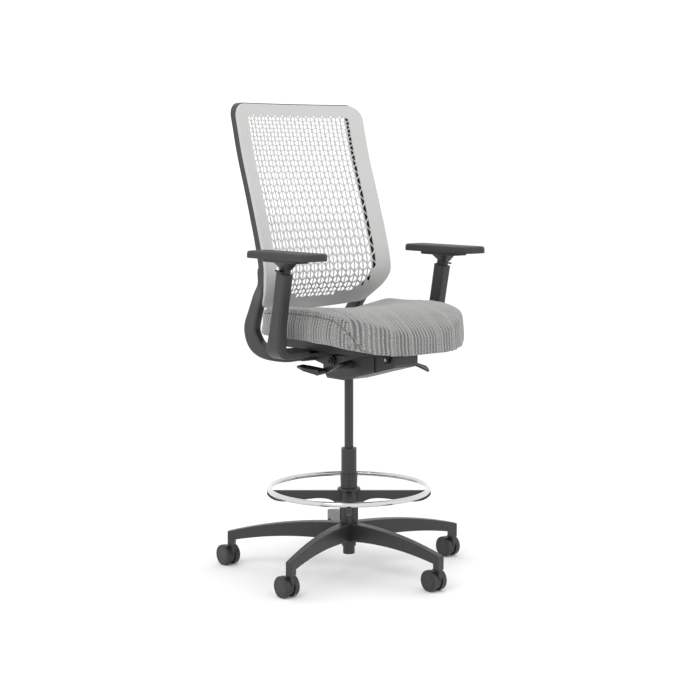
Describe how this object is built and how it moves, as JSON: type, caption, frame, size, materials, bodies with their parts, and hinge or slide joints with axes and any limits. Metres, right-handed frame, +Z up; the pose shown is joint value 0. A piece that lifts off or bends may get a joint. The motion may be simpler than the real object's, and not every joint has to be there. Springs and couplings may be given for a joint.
{
  "type": "drafting chair",
  "caption": "Tall swivel drafting chair with a perforated reclining back, sliding padded seat, adjustable arms, foot ring and castered star base.",
  "frame": {"origin": "column axis at floor level, where the casters stand", "axes": "+Z up, the sitter faces -Y, +X is the sitter's left"},
  "size_m": [0.76, 0.7614, 1.451],
  "materials": {
    "base_plastic": "moulded satin charcoal",
    "tube_paint": "satin powder coat",
    "wheel_plastic": "moulded nylon",
    "dark_steel": "black oxide",
    "chrome": "polished",
    "bright_steel": "ground",
    "mechanism_cast": "satin paint on a casting",
    "mechanism_plastic": "moulded",
    "frame_plastic": "fine spark texture",
    "panel_grey": "soft satin light grey",
    "seat_fabric": "heather weave with dashed dark stripes",
    "pad_urethane": "self-skinned urethane"
  },
  "bodies": {
    "base": {"base_star": "base_plastic", "gas_tube": "tube_paint", "guide_bush": "base_plastic", "piston_rod": "bright_steel"},
    "caster_1": {"caster_1_yoke": "wheel_plastic", "caster_1_stem": "bright_steel", "caster_1_axle": "bright_steel"},
    "caster_1_wheel_left": {"caster_1_wheel_left": "wheel_plastic"},
    "caster_1_wheel_right": {"caster_1_wheel_right": "wheel_plastic"},
    "caster_2": {"caster_2_yoke": "wheel_plastic", "caster_2_stem": "bright_steel", "caster_2_axle": "bright_steel"},
    "caster_2_wheel_left": {"caster_2_wheel_left": "wheel_plastic"},
    "caster_2_wheel_right": {"caster_2_wheel_right": "wheel_plastic"},
    "caster_3": {"caster_3_yoke": "wheel_plastic", "caster_3_stem": "bright_steel", "caster_3_axle": "bright_steel"},
    "caster_3_wheel_left": {"caster_3_wheel_left": "wheel_plastic"},
    "caster_3_wheel_right": {"caster_3_wheel_right": "wheel_plastic"},
    "caster_4": {"caster_4_yoke": "wheel_plastic", "caster_4_stem": "bright_steel", "caster_4_axle": "bright_steel"},
    "caster_4_wheel_left": {"caster_4_wheel_left": "wheel_plastic"},
    "caster_4_wheel_right": {"caster_4_wheel_right": "wheel_plastic"},
    "caster_5": {"caster_5_yoke": "wheel_plastic", "caster_5_stem": "bright_steel", "caster_5_axle": "bright_steel"},
    "caster_5_wheel_left": {"caster_5_wheel_left": "wheel_plastic"},
    "caster_5_wheel_right": {"caster_5_wheel_right": "wheel_plastic"},
    "collet": {"ring_collet": "base_plastic"},
    "ring": {"ring_spider": "base_plastic", "foot_ring": "chrome"},
    "lift": {"gas_cylinder": "tube_paint"},
    "release_pin": {"gas_release_pin": "bright_steel"},
    "chassis": {"mechanism_housing": "mechanism_cast", "mechanism_front_cover": "mechanism_cast", "recline_bolts": "dark_steel", "seat_tilt_pin": "bright_steel", "tilt_spring": "dark_steel", "lever_shaft": "mechanism_cast"},
    "back": {"back_carrier": "mechanism_cast", "back_frame": "frame_plastic", "back_panel": "panel_grey"},
    "seat_plate": {"seat_plate": "dark_steel", "arm_post_left": "frame_plastic", "arm_post_right": "frame_plastic", "arm_screws": "dark_steel"},
    "seat": {"seat_pan": "mechanism_plastic", "seat_cushion": "seat_fabric"},
    "arm_left": {"arm_stem_left": "mechanism_plastic", "arm_bracket_left": "mechanism_plastic"},
    "arm_pad_left": {"arm_pad_left": "pad_urethane"},
    "arm_trigger_left": {"arm_trigger_left": "mechanism_plastic"},
    "arm_right": {"arm_stem_right": "mechanism_plastic", "arm_bracket_right": "mechanism_plastic"},
    "arm_pad_right": {"arm_pad_right": "pad_urethane"},
    "arm_trigger_right": {"arm_trigger_right": "mechanism_plastic"},
    "tilt_lever": {"tilt_lever": "mechanism_plastic"},
    "height_lever": {"height_lever": "mechanism_plastic"},
    "lock_lever": {"lock_lever": "mechanism_plastic"}
  },
  "joints": [
    {"name": "caster_1_swivel", "type": "hinge", "parent": "base", "child": "caster_1", "pos_m": [0.36611, -0.08117, 0.05], "axis": [0, 0, 1], "continuous": true},
    {"name": "caster_1_roll_left", "type": "hinge", "parent": "caster_1", "child": "caster_1_wheel_left", "pos_m": [0.36611, -0.06116, 0.0325], "axis": [1, 0, 0], "continuous": true},
    {"name": "caster_1_roll_right", "type": "hinge", "parent": "caster_1", "child": "caster_1_wheel_right", "pos_m": [0.36611, -0.06116, 0.0325], "axis": [1, 0, 0], "continuous": true},
    {"name": "caster_2_swivel", "type": "hinge", "parent": "base", "child": "caster_2", "pos_m": [0.19033, 0.32311, 0.05], "axis": [0, 0, 1], "continuous": true},
    {"name": "caster_2_roll_left", "type": "hinge", "parent": "caster_2", "child": "caster_2_wheel_left", "pos_m": [0.19033, 0.34311, 0.0325], "axis": [1, 0, 0], "continuous": true},
    {"name": "caster_2_roll_right", "type": "hinge", "parent": "caster_2", "child": "caster_2_wheel_right", "pos_m": [0.19033, 0.34311, 0.0325], "axis": [1, 0, 0], "continuous": true},
    {"name": "caster_3_swivel", "type": "hinge", "parent": "base", "child": "caster_3", "pos_m": [-0.24848, 0.28086, 0.05], "axis": [0, 0, 1], "continuous": true},
    {"name": "caster_3_roll_left", "type": "hinge", "parent": "caster_3", "child": "caster_3_wheel_left", "pos_m": [-0.24848, 0.30086, 0.0325], "axis": [1, 0, 0], "continuous": true},
    {"name": "caster_3_roll_right", "type": "hinge", "parent": "caster_3", "child": "caster_3_wheel_right", "pos_m": [-0.24848, 0.30086, 0.0325], "axis": [1, 0, 0], "continuous": true},
    {"name": "caster_4_swivel", "type": "hinge", "parent": "base", "child": "caster_4", "pos_m": [-0.3439, -0.14953, 0.05], "axis": [0, 0, 1], "continuous": true},
    {"name": "caster_4_roll_left", "type": "hinge", "parent": "caster_4", "child": "caster_4_wheel_left", "pos_m": [-0.3439, -0.12953, 0.0325], "axis": [1, 0, 0], "continuous": true},
    {"name": "caster_4_roll_right", "type": "hinge", "parent": "caster_4", "child": "caster_4_wheel_right", "pos_m": [-0.3439, -0.12953, 0.0325], "axis": [1, 0, 0], "continuous": true},
    {"name": "caster_5_swivel", "type": "hinge", "parent": "base", "child": "caster_5", "pos_m": [0.03594, -0.37327, 0.05], "axis": [0, 0, 1], "continuous": true},
    {"name": "caster_5_roll_left", "type": "hinge", "parent": "caster_5", "child": "caster_5_wheel_left", "pos_m": [0.03594, -0.35327, 0.0325], "axis": [1, 0, 0], "continuous": true},
    {"name": "caster_5_roll_right", "type": "hinge", "parent": "caster_5", "child": "caster_5_wheel_right", "pos_m": [0.03594, -0.35327, 0.0325], "axis": [1, 0, 0], "continuous": true},
    {"name": "ring_height", "type": "slide", "parent": "base", "child": "collet", "axis": [0, 0, 1], "range_m": [0, 0.06]},
    {"name": "ring_lock_turn", "type": "hinge", "parent": "collet", "child": "ring", "pos_m": [0, 0, 0.2], "axis": [0, 0, 1], "range_deg": [0, 40]},
    {"name": "seat_height", "type": "slide", "parent": "base", "child": "lift", "axis": [0, 0, 1], "range_m": [-0.2, 0.01]},
    {"name": "release_pin_press", "type": "slide", "parent": "lift", "child": "release_pin", "axis": [0, 0, -1], "range_m": [0, 0.004], "stiffness_N_per_m": 2000, "springref_m": -0.002},
    {"name": "seat_swivel", "type": "hinge", "parent": "lift", "child": "chassis", "pos_m": [0, 0, 0.64], "axis": [0, 0, 1], "continuous": true},
    {"name": "back_recline", "type": "hinge", "parent": "chassis", "child": "back", "pos_m": [0, 0.01, 0.664], "axis": [-1, 0, 0], "range_deg": [0, 18], "stiffness_Nm_per_rad": 90, "springref_deg": -20.05},
    {"name": "seat_tilt", "type": "hinge", "parent": "chassis", "child": "seat_plate", "pos_m": [0, -0.235, 0.688], "axis": [-1, 0, 0], "range_deg": [0, 5.4]},
    {"name": "seat_depth", "type": "slide", "parent": "seat_plate", "child": "seat", "axis": [0, -1, 0], "range_m": [0, 0.05]},
    {"name": "arm_height_left", "type": "slide", "parent": "seat_plate", "child": "arm_left", "axis": [0, -0.1883, 0.9821], "range_m": [0, 0.07]},
    {"name": "pad_slide_left", "type": "slide", "parent": "arm_left", "child": "arm_pad_left", "axis": [0, -1, 0], "range_m": [-0.025, 0.025]},
    {"name": "trigger_press_left", "type": "slide", "parent": "arm_left", "child": "arm_trigger_left", "axis": [0, -0.1883, 0.9821], "range_m": [0, 0.003], "stiffness_N_per_m": 900, "springref_m": -0.002},
    {"name": "arm_height_right", "type": "slide", "parent": "seat_plate", "child": "arm_right", "axis": [0, -0.1883, 0.9821], "range_m": [0, 0.07]},
    {"name": "pad_slide_right", "type": "slide", "parent": "arm_right", "child": "arm_pad_right", "axis": [0, -1, 0], "range_m": [-0.025, 0.025]},
    {"name": "trigger_press_right", "type": "slide", "parent": "arm_right", "child": "arm_trigger_right", "axis": [0, -0.1883, 0.9821], "range_m": [0, 0.003], "stiffness_N_per_m": 900, "springref_m": -0.002},
    {"name": "tilt_lever_turn", "type": "hinge", "parent": "chassis", "child": "tilt_lever", "pos_m": [-0.055, -0.077, 0.661], "axis": [-0.9936, 0, -0.1132], "range_deg": [0, 10]},
    {"name": "height_lever_turn", "type": "hinge", "parent": "chassis", "child": "height_lever", "pos_m": [-0.055, -0.077, 0.661], "axis": [0.9936, 0, 0.1132], "range_deg": [0, 8], "stiffness_Nm_per_rad": 1.5, "springref_deg": -8.59},
    {"name": "lock_lever_lift", "type": "hinge", "parent": "chassis", "child": "lock_lever", "pos_m": [0.055, -0.205, 0.676], "axis": [0, -1, 0], "range_deg": [0, 12]}
  ],
  "couplings": [
    {"joint": "seat_tilt", "follows": "back_recline", "ratio": 0.28}
  ]
}
